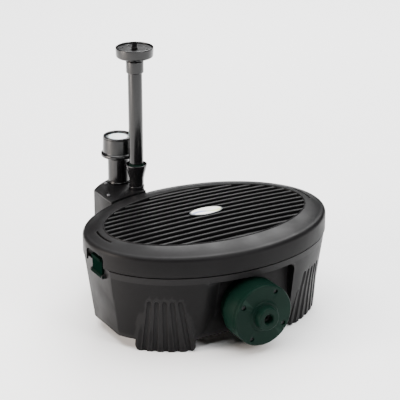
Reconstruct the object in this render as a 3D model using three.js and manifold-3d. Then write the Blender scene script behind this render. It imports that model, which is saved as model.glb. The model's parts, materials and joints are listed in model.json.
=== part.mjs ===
// Fountain submersible pump: an in-pond filter with its pump, ultraviolet clarifier, light and fountain.
// Millimetres, +Z up. The long axis of the oval casing lies along X and the motor faces -Y.
import * as THREE from 'three';
import { mergeVertices } from 'three/addons/utils/BufferGeometryUtils.js';
import Module from 'manifold-3d';

const wasm = await Module();
wasm.setup();

// ---------------------------------------------------------------- driving dimensions

const GAP = 0.3; // clearance between neighbouring pieces
const WALL = 3; // moulded wall thickness

const LID = { a: 200, b: 145, bottom: 129, crease: 153.5, top: 160, crown: 168.8 };
const FIELD = { a: 167, b: 104.5, border: 1.5, slotPitch: 14.37, slotWidth: 8.2, slotRows: 7 };
const BADGE = { a: 29, b: 13.5, thickness: 1.4 };
const SLIT = { x: 179.5, width: 3, length: 50 };

const TUB = {
  top: { z: 127, a: 198.8, b: 143.8 },
  bottom: { z: 18, a: 184.5, b: 127.5 },
  neck: { a: 193.2, b: 138.2, end: 184.5, top: 153 },
  panelTop: 190,
  panelBottom: 175.5,
};
const FOOT = { angle: 46.5, spread: 16.5, proud: 3, fade: 60, depth: 20 };
const RECESS = {
  left: -48,
  right: 80,
  top: 116,
  corner: 12,
  back: -110,
  depth: 50,
  coneRadius: 48,
  coneFlare: 3.09,
};
const NOTCH = { halfWidth: 23, top: 150, corner: 9 };
const CLIP = {
  halfWidth: 15.5,
  offset: 9,
  thickness: 3,
  pinX: 193,
  pinZ: 113,
  pinRadius: 1.5,
  barrel: 3.1,
  lug: 3,
  bottom: 109.6,
  top: 141,
};

const MOTOR = {
  z: 62.4,
  radius: 48.5,
  neck: 41,
  shoulder: 22,
  seat: 3,
  capBack: 52,
  face: 60,
  bossRadius: 17.5,
  bossEnd: 75,
};
const CAP_SCREW = { circle: 40, first: 60, radius: 3.2, shank: 1.8 };
const CORE = { can: 17, canBore: 14.5, inner: 17.4, outer: 33, back: 16, front: 40 };
const ROTOR = { radius: 13.6, shaft: 2.5, bore: 2.8, impeller: 24, blades: 6 };
const VOLUTE = {
  outer: 36,
  inner: 29,
  front: -3.6,
  back: -32,
  portDrop: 22,
  portRadius: 11.5,
  portEnd: -48,
  screwCircle: 32.5,
};
const PIPE = { bend: 16, outer: 11, inner: 8.5, end: 152 };
const TRAY = { bottom: 100, thickness: 3, legX: 140, legY: 55, legRadius: 5 };
const FOAM_SPLIT = 128;
const FOAM_TOP = 153;
const UV = { y: 40, z: 74, radius: 11.5, left: -70, right: 98, lampRadius: 5, capRadius: 16 };

const OUTLET = { left: -98.5, right: -27, arcX: 0.8, arcY: 99.6, arcRadius: 134, bottom: 28, top: 160 };
const TOWER = { wall: 3, top: 146 }; // the round tower of the outlet box that holds the riser's socket
const LAMP = { x: -45, y: 205, column: 17.5, flange: 28.3, neck: 205, head: 24.3, top: 240 };
const RISER = {
  x: -34.5,
  y: 163,
  socket: 12.4,
  socketBottom: 124,
  socketTop: 165.7,
  rim: 17.2,
  rimTop: 202,
  ball: 13.4,
  ballZ: 194,
  tube: 11.5,
  tubeTop: 365.7,
  collar: 14,
  collarBottom: 355,
  collarTop: 375,
};
const HEAD = { radius: 30, bottom: 375.3, top: 397, jets: 8 };
const VALVE = { y: 196, z: 114, knob: 11, stem: 4 };
const HOSE = { y: 196, z: 72, bore: 7, end: 17 };

// The origin is below the middle of the whole pump, so the casing sits forward of it.
const FRONT = RECESS.back - MOTOR.bossEnd;
const REAR = LAMP.y + LAMP.flange;
const CENTRE_Y = (FRONT + REAR) / 2;

const COLOURS = {
  casing: [0x24262a, 0.45],
  foam: [0x20242a, 0.95],
  green: [0x12301f, 0.4],
  gloss: [0x101113, 0.18],
  steel: [0x9a9ca0, 0.3],
  rubber: [0x161616, 0.8],
  copper: [0x9a5a30, 0.4],
  magnet: [0x3a3a3e, 0.5],
  ceramic: [0xe8e6e0, 0.3],
  badge: [0xdedbc8, 0.4],
  glass: [0xd8e4ea, 0.05],
  lens: [0xeeeeec, 0.3],
  board: [0x1f5a35, 0.5],
};
const METALS = new Set(['steel', 'copper', 'magnet']);

// ---------------------------------------------------------------- solids

const v2 = (x, y) => new THREE.Vector2(x, y);
const radians = THREE.MathUtils.degToRad;
const moved = (manifold, x, y, z) => manifold.translate([x, y, z]);

function solid(geometry) {
  const bare = geometry.clone();
  bare.deleteAttribute('normal');
  bare.deleteAttribute('uv');
  const merged = mergeVertices(bare, 1e-4);
  const points = merged.attributes.position.array;
  const corners = [...merged.index.array];
  const faces = [];
  let volume = 0;
  for (let i = 0; i < corners.length; i += 3) {
    const face = corners.slice(i, i + 3);
    if (new Set(face).size < 3) continue;
    const [p, q, r] = face.map((k) => new THREE.Vector3().fromArray(points, 3 * k));
    volume += p.dot(q.clone().cross(r));
    faces.push(face);
  }
  const outward = faces.flatMap(([i, j, k]) => (volume < 0 ? [i, k, j] : [i, j, k]));
  const triVerts = new Uint32Array(outward);
  const vertProperties = new Float32Array(points);
  return new wasm.Manifold(new wasm.Mesh({ numProp: 3, vertProperties, triVerts }));
}

function geometryOf(manifold) {
  const mesh = manifold.getMesh();
  const geometry = new THREE.BufferGeometry();
  geometry.setAttribute('position', new THREE.BufferAttribute(new Float32Array(mesh.vertProperties), 3));
  geometry.setIndex(new THREE.BufferAttribute(new Uint32Array(mesh.triVerts), 1));
  return geometry;
}

// Copies of a piece set out on a circle about Z, at the given angles in degrees.
const onCircle = (piece, radius, angles) =>
  angles.map((degrees) => {
    const turn = radians(degrees);
    return moved(piece, radius * Math.cos(turn), radius * Math.sin(turn), 0);
  });
const evenly = (count, first = 0) => Array.from({ length: count }, (_, k) => first + (360 * k) / count);

const union = (pieces) => pieces.reduce((sum, piece) => sum.add(piece));

// A solid of revolution about Z; the outline is a list of [radius, height] pairs.
function turned(outline, segments = 14) {
  const points = outline.map(([r, z]) => v2(r, z));
  const closed = outline[0][0] > 0;
  if (closed) points.push(points[0].clone());
  return solid(new THREE.LatheGeometry(points, segments).rotateX(Math.PI / 2));
}

const disc = (radius, bottom, top, segments = 14) =>
  turned([[0, bottom], [radius, bottom], [radius, top], [0, top]], segments);

const ring = (inner, outer, bottom, top, segments = 14) =>
  turned([[inner, bottom], [outer, bottom], [outer, top], [inner, top]], segments);

function block(low, high) {
  const size = high.map((value, axis) => value - low[axis]);
  const box = new THREE.BoxGeometry(...size);
  return solid(box.translate(...low.map((value, axis) => value + size[axis] / 2)));
}

// A plan outline raised from one height to another.
function raised(shape, bottom, top) {
  const geometry = new THREE.ExtrudeGeometry(shape, { depth: top - bottom, bevelEnabled: false });
  return solid(geometry.translate(0, 0, bottom));
}

// A solid along +Z turned to run along +X, or to face -Y, which is how the motor's pieces lie.
const alongX = (manifold) => manifold.rotate([0, 90, 0]);
const atMotor = (manifold) => moved(manifold.rotate([90, 0, 0]), 0, RECESS.back, MOTOR.z);

// Stacked ellipses; each ring is { z, a, b }.
function ovalLoft(rings, segments = 72) {
  const rim = rings.map((_, level) => v2(1, level));
  const outline = [v2(0, 0), ...rim, v2(0, rings.length - 1)];
  const geometry = new THREE.LatheGeometry(outline, segments);
  const position = geometry.attributes.position;
  for (let i = 0; i < position.count; i += 1) {
    const { z, a, b } = rings[Math.round(position.getY(i))];
    position.setXYZ(i, position.getX(i) * a, position.getZ(i) * b, z);
  }
  return solid(geometry);
}

const oval = (a, b, bottom, top, segments) =>
  ovalLoft([{ z: bottom, a, b }, { z: top, a, b }], segments);

function roundedTop(left, right, bottom, top, radius) {
  const shape = new THREE.Shape();
  shape.moveTo(left, bottom);
  shape.lineTo(right, bottom);
  shape.lineTo(right, top - radius);
  shape.absarc(right - radius, top - radius, radius, 0, Math.PI / 2, false);
  shape.absarc(left + radius, top - radius, radius, Math.PI / 2, Math.PI, false);
  return shape;
}

// ---------------------------------------------------------------- assembly

const group = new THREE.Group();
group.position.y = -CENTRE_Y;

function place(name, colour, manifold) {
  const [hex, roughness] = COLOURS[colour];
  const metalness = METALS.has(colour) ? 0.9 : 0;
  const material = new THREE.MeshStandardMaterial({ color: hex, roughness, metalness });
  const mesh = new THREE.Mesh(geometryOf(manifold), material);
  mesh.name = name;
  group.add(mesh);
}

// ---------------------------------------------------------------- casing

function tubRing(z, inset = 0) {
  const { top, bottom } = TUB;
  const share = (z - bottom.z) / (top.z - bottom.z);
  const between = (low, high) => low + share * (high - low) - inset;
  return { z, a: between(bottom.a, top.a), b: between(bottom.b, top.b) };
}

// The flat end panels: a wedge across the whole casing that its oval walls are cut back to.
function endPanels(inset, bottom, top) {
  const slope = (TUB.panelTop - TUB.panelBottom) / (TUB.top.z - TUB.bottom.z);
  const reach = (z) => TUB.panelBottom + slope * (z - TUB.bottom.z) - inset;
  const shape = new THREE.Shape([
    v2(-reach(bottom), bottom),
    v2(reach(bottom), bottom),
    v2(reach(top), top),
    v2(-reach(top), top),
  ]);
  const wedge = solid(new THREE.ExtrudeGeometry(shape, { depth: 400, bevelEnabled: false }));
  return moved(wedge.rotate([90, 0, 0]), 0, 200, 0);
}

// The motor's recess: a bay open at the bottom, with a conical scoop around the motor at its left.
function recess(grow) {
  const { left, right, top, corner, depth, coneRadius, coneFlare } = RECESS;
  const outline = roundedTop(left - grow, right + grow, -5, top + grow, corner + grow);
  const length = depth + grow;
  const bay = new THREE.ExtrudeGeometry(outline, { depth: length, curveSegments: 4, bevelEnabled: false });
  const mouth = moved(solid(bay).rotate([90, 0, 0]), 0, RECESS.back + grow, 0);
  const start = -1.05 * grow;
  const end = coneRadius + (depth - start) * coneFlare;
  const cone = atMotor(turned([[0, start], [coneRadius, start], [end, depth], [0, depth]], 32));
  return mouth.add(cone.intersect(block([-200, -200, -6], [left + 10, -60, top + grow])));
}

// One foot: a patch of wall that stands proud at the floor and fades into the casing.
function foot(middle) {
  const levels = [0, 2.5, 8, FOOT.fade];
  const widths = [0.82, 0.94, 1, 0.8];
  const columns = 4;
  const patch = new THREE.BoxGeometry(2, 1, levels.length - 1, columns, 1, levels.length - 1);
  const position = patch.attributes.position;
  for (let i = 0; i < position.count; i += 1) {
    const level = Math.round(position.getZ(i) + (levels.length - 1) / 2);
    const z = levels[level];
    const angle = radians(middle + position.getX(i) * FOOT.spread * widths[level]);
    const inward = position.getY(i) > 0 ? -FOOT.proud * (1 - z / FOOT.fade) + 0.02 : FOOT.depth;
    const { a, b } = tubRing(z, inward);
    position.setXYZ(i, a * Math.cos(angle), b * Math.sin(angle), z);
  }
  return solid(patch);
}

const atRightClip = (manifold) => moved(manifold, 0, CLIP.offset, 0);
const toSide = (manifold, side) => (side > 0 ? manifold : manifold.rotate([0, 0, 180]));

function clipLugs(side) {
  const near = CLIP.halfWidth + 0.6;
  const far = near + CLIP.lug;
  const lugs = [[near, far], [-far, -near]].map(([low, high]) =>
    block([183, low, CLIP.pinZ - 3], [CLIP.pinX + 2.6, high, CLIP.pinZ + 3]),
  );
  return toSide(atRightClip(union(lugs)), side);
}

const acrossY = (manifold) => manifold.rotate([90, 0, 0]);

const pin = (radius, halfLength) =>
  moved(acrossY(disc(radius, -halfLength, halfLength, 16)), CLIP.pinX, 0, CLIP.pinZ);

function uvSaddle(x) {
  return block([x - 3, UV.y - 8, TUB.bottom.z + 1], [x + 3, UV.y + 8, UV.z - UV.radius - 2 * GAP]);
}

const FOOT_ANGLES = {
  rear_right: FOOT.angle,
  rear_left: 180 - FOOT.angle,
  front_left: 180 + FOOT.angle,
  front_right: 360 - FOOT.angle,
};
const belowTub = block([-250, -250, -1], [250, 250, TUB.bottom.z]);

// The band that stands up inside the lid's skirt, flat at both ends behind the clips.
function neckBand(inset, bottom, top) {
  const { a, b, end } = TUB.neck;
  const reach = end - inset;
  const band = oval(a - inset, b - inset, bottom, top, 48);
  return band.intersect(block([-reach, -200, bottom], [reach, 200, top]));
}

function baseTub() {
  const wall = ovalLoft([tubRing(TUB.bottom.z), tubRing(TUB.top.z)]).intersect(endPanels(0, 0, 140));
  const neck = neckBand(0, TUB.top.z - 5, TUB.neck.top);
  const fades = Object.values(FOOT_ANGLES).map((angle) => foot(angle).subtract(belowTub));
  let body = union([wall, neck, ...fades, clipLugs(1), clipLugs(-1)]);
  body = body.subtract(recess(0));
  const floor = TUB.bottom.z + WALL;
  const lower = ovalLoft([tubRing(floor, WALL), tubRing(TUB.top.z - 4, WALL)], 48);
  const upper = neckBand(WALL, TUB.top.z - 6, TUB.neck.top + 5);
  const inside = lower.intersect(endPanels(WALL, 0, 140)).add(upper).subtract(recess(WALL));
  body = body.subtract(inside);
  const spigotHole = atMotor(disc(31.5, -10, 5, 40));
  const pipeX = VOLUTE.portEnd - PIPE.bend;
  const pipeHole = moved(acrossY(disc(PIPE.outer + GAP, -150, -100)), pipeX, 0, MOTOR.z - VOLUTE.portDrop);
  body = body.subtract(spigotHole).subtract(pipeHole);
  const pinHoles = [1, -1].map((side) => toSide(atRightClip(pin(CLIP.pinRadius + GAP, 22)), side));
  body = body.subtract(union(pinHoles));
  return union([body, uvSaddle(-40), uvSaddle(78)]);
}

// A clip with its own pin, which turns in the casing's two lugs.
function clip(side) {
  const { halfWidth, thickness, pinX, pinRadius, barrel, lug, bottom, top } = CLIP;
  const inner = pinX - 2.6;
  const radius = 5;
  const plate = new THREE.Shape();
  plate.moveTo(-halfWidth, top);
  plate.lineTo(-halfWidth, bottom + radius);
  plate.absarc(-halfWidth + radius, bottom + radius, radius, Math.PI, 1.5 * Math.PI, false);
  plate.absarc(halfWidth - radius, bottom + radius, radius, 1.5 * Math.PI, 2 * Math.PI, false);
  plate.lineTo(halfWidth, top);
  const flat = new THREE.ExtrudeGeometry(plate, { depth: thickness, curveSegments: 4, bevelEnabled: false });
  flat.rotateX(Math.PI / 2).rotateZ(Math.PI / 2);
  const face = moved(solid(flat), inner, 0, 0);
  const lip = block([inner, -halfWidth + 2, top - 5], [pinX + 3, halfWidth - 2, top]);
  const whole = union([face, lip, pin(barrel, halfWidth), pin(pinRadius, halfWidth + 0.6 + lug)]);
  return toSide(atRightClip(whole), side);
}

place('base_tub', 'casing', baseTub());
for (const [name, angle] of Object.entries(FOOT_ANGLES)) {
  const sole = block([-250, -250, -1], [250, 250, TUB.bottom.z - GAP]);
  place(`foot_${name}`, 'casing', foot(angle).intersect(sole));
}
place('clip_right', 'green', clip(1));
place('clip_left', 'green', clip(-1));

// ---------------------------------------------------------------- lid

function lidRings(drop, inset, turns = [0, 90]) {
  const fillet = LID.top - LID.crease;
  const rings = [
    { z: LID.bottom - (inset ? 2 : 0), a: LID.a - inset, b: LID.b - inset },
  ];
  for (const turn of turns) {
    const back = fillet * (1 - Math.cos(radians(turn))) + inset;
    const z = LID.crease + fillet * Math.sin(radians(turn)) - drop;
    rings.push({ z, a: LID.a - back, b: LID.b - back });
  }
  rings.push({ z: LID.crown - drop, a: FIELD.a + FIELD.border, b: FIELD.b + FIELD.border });
  return rings;
}

function slotCutters() {
  const slots = [];
  for (let row = -FIELD.slotRows; row < FIELD.slotRows; row += 1) {
    const y = (row + 0.5) * FIELD.slotPitch;
    const half = FIELD.slotWidth / 2;
    slots.push(block([-FIELD.a, y - half, LID.bottom], [FIELD.a, y + half, LID.crown + 5]));
  }
  return union(slots).intersect(oval(FIELD.a, FIELD.b, LID.bottom, LID.crown + 5, 48));
}

function notchCutter(side) {
  const outline = roundedTop(-NOTCH.halfWidth, NOTCH.halfWidth, LID.bottom - 4, NOTCH.top, NOTCH.corner);
  const cut = new THREE.ExtrudeGeometry(outline, { depth: 40, curveSegments: 4, bevelEnabled: false });
  cut.rotateX(Math.PI / 2).rotateZ(Math.PI / 2);
  return toSide(atRightClip(moved(solid(cut), 170, 0, 0)), side);
}

function lidCover() {
  const ribThickness = 3;
  const shell = ovalLoft(lidRings(0, 0, [0, 45, 90])).subtract(ovalLoft(lidRings(WALL, WALL), 48));
  const cuts = [slotCutters(), notchCutter(1), notchCutter(-1)];
  for (const side of [-1, 1]) {
    const x = side * SLIT.x;
    const low = [x - SLIT.width / 2, -SLIT.length / 2, 150];
    cuts.push(block(low, [x + SLIT.width / 2, SLIT.length / 2, 175]));
  }
  const lowered = ovalLoft(lidRings(2, 2), 48);
  const ribs = [-84, 0, 84].map((x) => {
    const low = [x - ribThickness / 2, -FIELD.b - 4, 157];
    return block(low, [x + ribThickness / 2, FIELD.b + 4, 175]).intersect(lowered);
  });
  return union([shell.subtract(union(cuts)), ...ribs]);
}

function badge() {
  const base = LID.crown + GAP;
  return ovalLoft(
    [
      { z: base, a: BADGE.a, b: BADGE.b },
      { z: base + BADGE.thickness * 0.6, a: BADGE.a, b: BADGE.b },
      { z: base + BADGE.thickness, a: BADGE.a - 1.5, b: BADGE.b - 1.5 },
    ],
    28,
  );
}

place('lid_cover', 'casing', lidCover());
place('badge', 'badge', badge());

// ---------------------------------------------------------------- filter media

// A layer of filter media: the tub's inner oval, cut back at its flat ends and at the motor's recess.
function layer(bottom, top, inset) {
  const { b } = tubRing(TRAY.bottom, WALL + inset);
  const reach = TUB.neck.end - WALL - inset;
  const outline = oval(reach, Math.min(b, TUB.neck.b - WALL - inset), bottom, top, 36);
  const room = endPanels(WALL + inset, 0, 180);
  const keepOut = block([-88, -200, 0], [RECESS.right + 9, RECESS.back + WALL + inset, 200]);
  return outline.intersect(room).subtract(keepOut);
}

function mediaTray() {
  const top = TRAY.bottom + TRAY.thickness;
  const plate = layer(TRAY.bottom, top, 1.5);
  const openings = [-60, -30, 0, 30, 60, 90].map((y) => block([-110, y - 5, 90], [110, y + 5, 110]));
  const legs = [];
  for (const x of [-TRAY.legX, TRAY.legX]) {
    for (const y of [-TRAY.legY, TRAY.legY]) {
      const leg = disc(TRAY.legRadius, TUB.bottom.z + WALL + GAP, TRAY.bottom + 1, 16);
      legs.push(moved(leg, x, y, 0));
    }
  }
  return union([plate.subtract(union(openings)), ...legs]);
}

place('media_tray', 'casing', mediaTray());
place('foam_fine', 'foam', layer(TRAY.bottom + TRAY.thickness + GAP, FOAM_SPLIT, 3));
place('foam_coarse', 'foam', layer(FOAM_SPLIT + GAP, FOAM_TOP, 3));

// ---------------------------------------------------------------- motor and pump

const aroundCap = (piece) => onCircle(piece, CAP_SCREW.circle, evenly(4, CAP_SCREW.first));
const aroundVolute = (piece) => onCircle(piece, VOLUTE.screwCircle, evenly(3, 90));

// Screw with its head's top at height 0, pointing down.
function screw(head, shank, length) {
  const headHeight = head * 0.8;
  return turned([
    [0, -headHeight - length],
    [shank, -headHeight - length],
    [shank, -headHeight],
    [head, -headHeight],
    [head, -head * 0.25],
    [head * 0.7, 0],
    [0, 0],
  ], 8);
}

function motorHousing() {
  const { seat, capBack, radius, neck, shoulder } = MOTOR;
  const front = capBack - GAP;
  const shell = turned([
    [CORE.canBore, -2],
    [31, -2],
    [31, seat],
    [neck - 1, seat],
    [neck, seat + 1],
    [neck, shoulder - 2],
    [radius - 1, shoulder],
    [radius, shoulder + 1],
    [radius, front],
    [radius - WALL, front],
    [radius - WALL, shoulder + WALL],
    [neck - WALL, shoulder + WALL],
    [neck - WALL, seat + WALL],
    [CORE.can, seat + WALL],
    [CORE.can, 48],
    [0, 48],
    [0, 46],
    [CORE.canBore, 46],
  ], 32);
  const pillars = union(aroundCap(disc(4.8, shoulder + 1, front, 12)));
  const holes = union(aroundCap(disc(CAP_SCREW.shank + GAP, front - 16, front + 5, 8)));
  return shell.add(pillars).subtract(holes);
}

function motorEndCap() {
  const { capBack, face, radius, bossRadius, bossEnd } = MOTOR;
  const cap = turned([
    [7.5, capBack + 3],
    [radius - WALL - GAP, capBack + 3],
    [radius - WALL - GAP, capBack],
    [radius, capBack],
    [radius, face - 1.5],
    [radius - 1.5, face],
    [bossRadius + 5, face],
    [bossRadius + 3.5, face + 2],
    [bossRadius, face + 2],
    [bossRadius, bossEnd - 1.5],
    [bossRadius - 1.5, bossEnd],
    [7.5, bossEnd],
  ], 32);
  const holes = union(aroundCap(disc(CAP_SCREW.shank + GAP, capBack - 1, face + 1, 8)));
  const counterbores = union(aroundCap(disc(CAP_SCREW.radius + GAP, face - 2.2, face + 1, 12)));
  return cap.subtract(holes).subtract(counterbores);
}

place('motor_housing', 'green', atMotor(motorHousing()));
place('motor_end_cap', 'green', atMotor(motorEndCap()));
const capScrew = moved(screw(CAP_SCREW.radius, CAP_SCREW.shank, 14), 0, 0, MOTOR.face + 0.6);
aroundCap(capScrew).forEach((piece, k) => {
  place(`end_cap_screw_${k + 1}`, 'steel', atMotor(piece));
});
place('gland_seal', 'rubber', atMotor(ring(4, 7.2, MOTOR.face - 1, MOTOR.bossEnd - 2.5)));

const coil = (bottom, top) => ring(CORE.inner + 1.5, CORE.outer - 2, bottom, top, 24);
place('stator_core', 'steel', atMotor(ring(CORE.inner, CORE.outer, CORE.back, CORE.front, 24)));
place('coil_rear', 'copper', atMotor(coil(CORE.back - 8, CORE.back - GAP)));
place('coil_front', 'copper', atMotor(coil(CORE.front + GAP, CORE.front + 7)));

function impeller() {
  const back = VOLUTE.front - 1;
  const hub = ring(ROTOR.bore, 8, -24, back);
  const plate = ring(ROTOR.bore, ROTOR.impeller, back - 3, back, 24);
  const blade = block([5, -1.2, -24], [ROTOR.impeller - 1, 1.2, back - 1]);
  const leaning = moved(blade.rotate([0, 0, 20]), 0, -2, 0).subtract(disc(ROTOR.bore + 1, -30, 5));
  const blades = evenly(ROTOR.blades).map((degrees) => leaning.rotate([0, 0, degrees]));
  return union([hub, plate, ...blades]);
}

place('rotor_magnet', 'magnet', atMotor(ring(ROTOR.bore, ROTOR.radius, VOLUTE.front - 0.5, 38)));
place('impeller', 'green', atMotor(impeller()));
place('rotor_shaft', 'ceramic', atMotor(disc(ROTOR.shaft, -40, 44.5, 16)));
place('front_bush', 'rubber', atMotor(ring(ROTOR.shaft + GAP, 6.5, 39, 45.5, 16)));
place('rear_bush', 'rubber', atMotor(ring(ROTOR.shaft + GAP, 5, -40, -34, 16)));

function pumpVolute() {
  const { outer, inner, front, back, portDrop, portRadius, portEnd } = VOLUTE;
  const middle = (front + back) / 2;
  const port = moved(alongX(disc(portRadius, portEnd, 0)), 0, -portDrop, middle);
  const bore = moved(alongX(disc(PIPE.inner, portEnd - 1, -8)), 0, -portDrop, middle);
  const holes = aroundVolute(disc(1.9, back - 1, back + 12, 8));
  const body = disc(outer, back, front, 24).add(port);
  return body.subtract(disc(inner, back - 1, front + 1, 24)).subtract(bore).subtract(union(holes));
}

function voluteCover() {
  const { outer, back } = VOLUTE;
  const front = back - GAP;
  const plate = ring(15, outer, front - 3, front, 24);
  const arm = block([6, -1.5, front - 3], [17, 1.5, front]);
  const arms = evenly(3, 30).map((degrees) => arm.rotate([0, 0, degrees]));
  const hub = ring(5 + GAP, 8, front - 8, front);
  const holes = aroundVolute(disc(1.9, front - 5, front + 1, 8));
  return union([plate, hub, ...arms]).subtract(union(holes));
}

place('pump_volute', 'casing', atMotor(pumpVolute()));
place('volute_cover', 'casing', atMotor(voluteCover()));
const voluteScrew = moved(screw(3, 1.6, 10).rotate([180, 0, 0]), 0, 0, VOLUTE.back - 5.4 - 2 * GAP);
aroundVolute(voluteScrew).forEach((piece, k) => {
  place(`volute_screw_${k + 1}`, 'steel', atMotor(piece));
});

// ---------------------------------------------------------------- delivery pipe and clarifier

const portZ = MOTOR.z - VOLUTE.portDrop;
const portY = RECESS.back - (VOLUTE.front + VOLUTE.back) / 2;
const pipeX = VOLUTE.portEnd - PIPE.bend;

function deliveryElbow() {
  const section = new THREE.Shape().absarc(0, 0, PIPE.outer, 0, 2 * Math.PI, false);
  section.holes.push(new THREE.Path().absarc(0, 0, PIPE.inner, 0, 2 * Math.PI, true));
  const corner = new THREE.Vector3(pipeX, portY, portZ);
  const start = new THREE.Vector3(VOLUTE.portEnd - GAP, portY, portZ);
  const end = new THREE.Vector3(pipeX, portY + PIPE.bend - GAP, portZ);
  const path = new THREE.QuadraticBezierCurve3(start, corner, end);
  const bend = new THREE.ExtrudeGeometry(section, { extrudePath: path, steps: 6, curveSegments: 6 });
  return solid(bend);
}

const straightPipe = ring(PIPE.inner, PIPE.outer, -PIPE.end, -(portY + PIPE.bend));
place('delivery_elbow', 'casing', deliveryElbow());
place('delivery_pipe', 'casing', moved(acrossY(straightPipe), pipeX, 0, portZ));

const atUv = (manifold) => moved(alongX(manifold), 0, UV.y, UV.z);

function quartzSleeve() {
  const { radius, left, right } = UV;
  const bore = radius - 1.5;
  return turned([
    [0, left],
    [radius - 4, left],
    [radius, left + 4],
    [radius, right],
    [bore, right],
    [bore, left + 5],
    [bore - 3, left + 2],
    [0, left + 2],
  ]);
}

function uvCap() {
  const { radius, right, capRadius } = UV;
  return turned([
    [0, right + GAP],
    [radius + GAP, right + GAP],
    [radius + GAP, right - 10],
    [capRadius, right - 10],
    [capRadius, right + 18],
    [capRadius - 3, right + 21],
    [0, right + 21],
  ]);
}

place('quartz_sleeve', 'glass', atUv(quartzSleeve()));
place('uv_lamp', 'glass', atUv(disc(UV.lampRadius, UV.left + 12, UV.right - 1, 16)));
place('uv_cap', 'casing', atUv(uvCap()));
const uvSeal = ring(UV.radius + GAP, UV.capRadius - 1, UV.right - 12.5, UV.right - 10 - GAP);
place('uv_seal', 'rubber', atUv(uvSeal));

// ---------------------------------------------------------------- outlet box

// The box's plan: its front follows the lid's oval and its rear is an arc.
function outletPlan(inset) {
  const clear = 2;
  const a = LID.a + clear + inset;
  const b = LID.b + clear + inset;
  const left = OUTLET.left + inset;
  const right = OUTLET.right - inset;
  const points = [];
  const steps = 8;
  for (let k = 0; k <= steps; k += 1) {
    const x = left + ((right - left) * k) / steps;
    points.push(v2(x, b * Math.sqrt(1 - (x / a) ** 2)));
  }
  for (let k = steps; k >= 0; k -= 1) {
    const x = left + ((right - left) * k) / steps;
    const reach = Math.sqrt((OUTLET.arcRadius - inset) ** 2 - (x - OUTLET.arcX) ** 2);
    points.push(v2(x, OUTLET.arcY + reach));
  }
  return new THREE.Shape(points);
}

const COVER_THICKNESS = 2.7;
const coverBottom = OUTLET.top - COVER_THICKNESS;
const coverScrews = [[-70, 203.5], [-89.5, 155], [-33.5, 224]];
const spindle = (manifold, { y, z }) => moved(alongX(manifold), 0, y, z);

function outletHousing() {
  const top = coverBottom - GAP;
  const bore = RISER.socket + GAP;
  const tower = moved(disc(bore + TOWER.wall, OUTLET.bottom, TOWER.top, 24), RISER.x, RISER.y, 0);
  const well = moved(disc(bore, OUTLET.bottom + WALL, top + 5, 24), RISER.x, RISER.y, 0);
  const shell = raised(outletPlan(0), OUTLET.bottom, top).add(tower);
  const inside = raised(outletPlan(WALL), OUTLET.bottom + WALL, top + 5).add(well);
  const pillars = coverScrews.map(([x, y]) => moved(disc(6.5, top - 30, top, 12), x, y, 0));
  const pilotHoles = coverScrews.map(([x, y]) => moved(disc(1.9, top - 14, top + 1, 8), x, y, 0));
  const inlet = moved(acrossY(disc(PIPE.outer + GAP, -165, -120)), pipeX, 0, portZ);
  const sideHoles = [
    spindle(disc(VALVE.stem + GAP, OUTLET.right - 10, OUTLET.right + 5), VALVE),
    spindle(disc(HOSE.bore + 2 + GAP, OUTLET.right - 10, OUTLET.right + 5), HOSE),
  ];
  const body = shell.subtract(inside).add(union(pillars));
  return body.subtract(union([...pilotHoles, inlet, ...sideHoles]));
}

function outletCover() {
  const plate = raised(outletPlan(0), coverBottom, OUTLET.top);
  const holes = coverScrews.map(([x, y]) => moved(disc(1.9, coverBottom - 1, OUTLET.top + 1, 8), x, y, 0));
  holes.push(moved(disc(RISER.socket + GAP, coverBottom - 1, OUTLET.top + 1, 24), RISER.x, RISER.y, 0));
  holes.push(moved(disc(8, coverBottom - 1, OUTLET.top + 1), LAMP.x, LAMP.y, 0));
  return plate.subtract(union(holes));
}

function flowValve() {
  const { right } = OUTLET;
  const stem = disc(VALVE.stem, right - 12, right + 4);
  const spool = disc(12, right - 36, right - 11);
  const knob = disc(VALVE.knob, right + GAP, right + 7, 20);
  const handle = block([-2.5, -VALVE.knob + 1, right + 6], [2.5, VALVE.knob - 1, right + 13]);
  const port = moved(acrossY(disc(6, -15, 15)), 0, 0, right - 24);
  return spindle(union([stem, spool, knob, handle]).subtract(port), VALVE);
}

function hoseTail() {
  const { right } = OUTLET;
  const outer = HOSE.bore + 2;
  const flange = right + GAP;
  const outline = [
    [HOSE.bore, right - 8],
    [outer, right - 8],
    [outer, flange],
    [outer + 5, flange],
    [outer + 5, flange + 3],
    [outer, flange + 3],
  ];
  const barbs = 3;
  const pitch = (HOSE.end - flange - 5) / barbs;
  for (let k = 0; k < barbs; k += 1) {
    const start = flange + 5 + k * pitch;
    outline.push([outer + 1.5, start], [outer - 0.5, start + pitch - 0.5]);
  }
  outline.push([outer - 0.5, HOSE.end], [HOSE.bore, HOSE.end]);
  return spindle(turned(outline, 16), HOSE);
}

place('outlet_housing', 'casing', outletHousing());
place('outlet_cover', 'casing', outletCover());
coverScrews.forEach(([x, y], k) => {
  place(`cover_screw_${k + 1}`, 'steel', moved(screw(3, 1.6, 10), x, y, OUTLET.top + 2.4 + GAP));
});
place('flow_valve', 'green', flowValve());
place('hose_tail', 'casing', hoseTail());

// ---------------------------------------------------------------- lamp

const atLamp = (manifold) => moved(manifold, LAMP.x, LAMP.y, 0);

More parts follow.
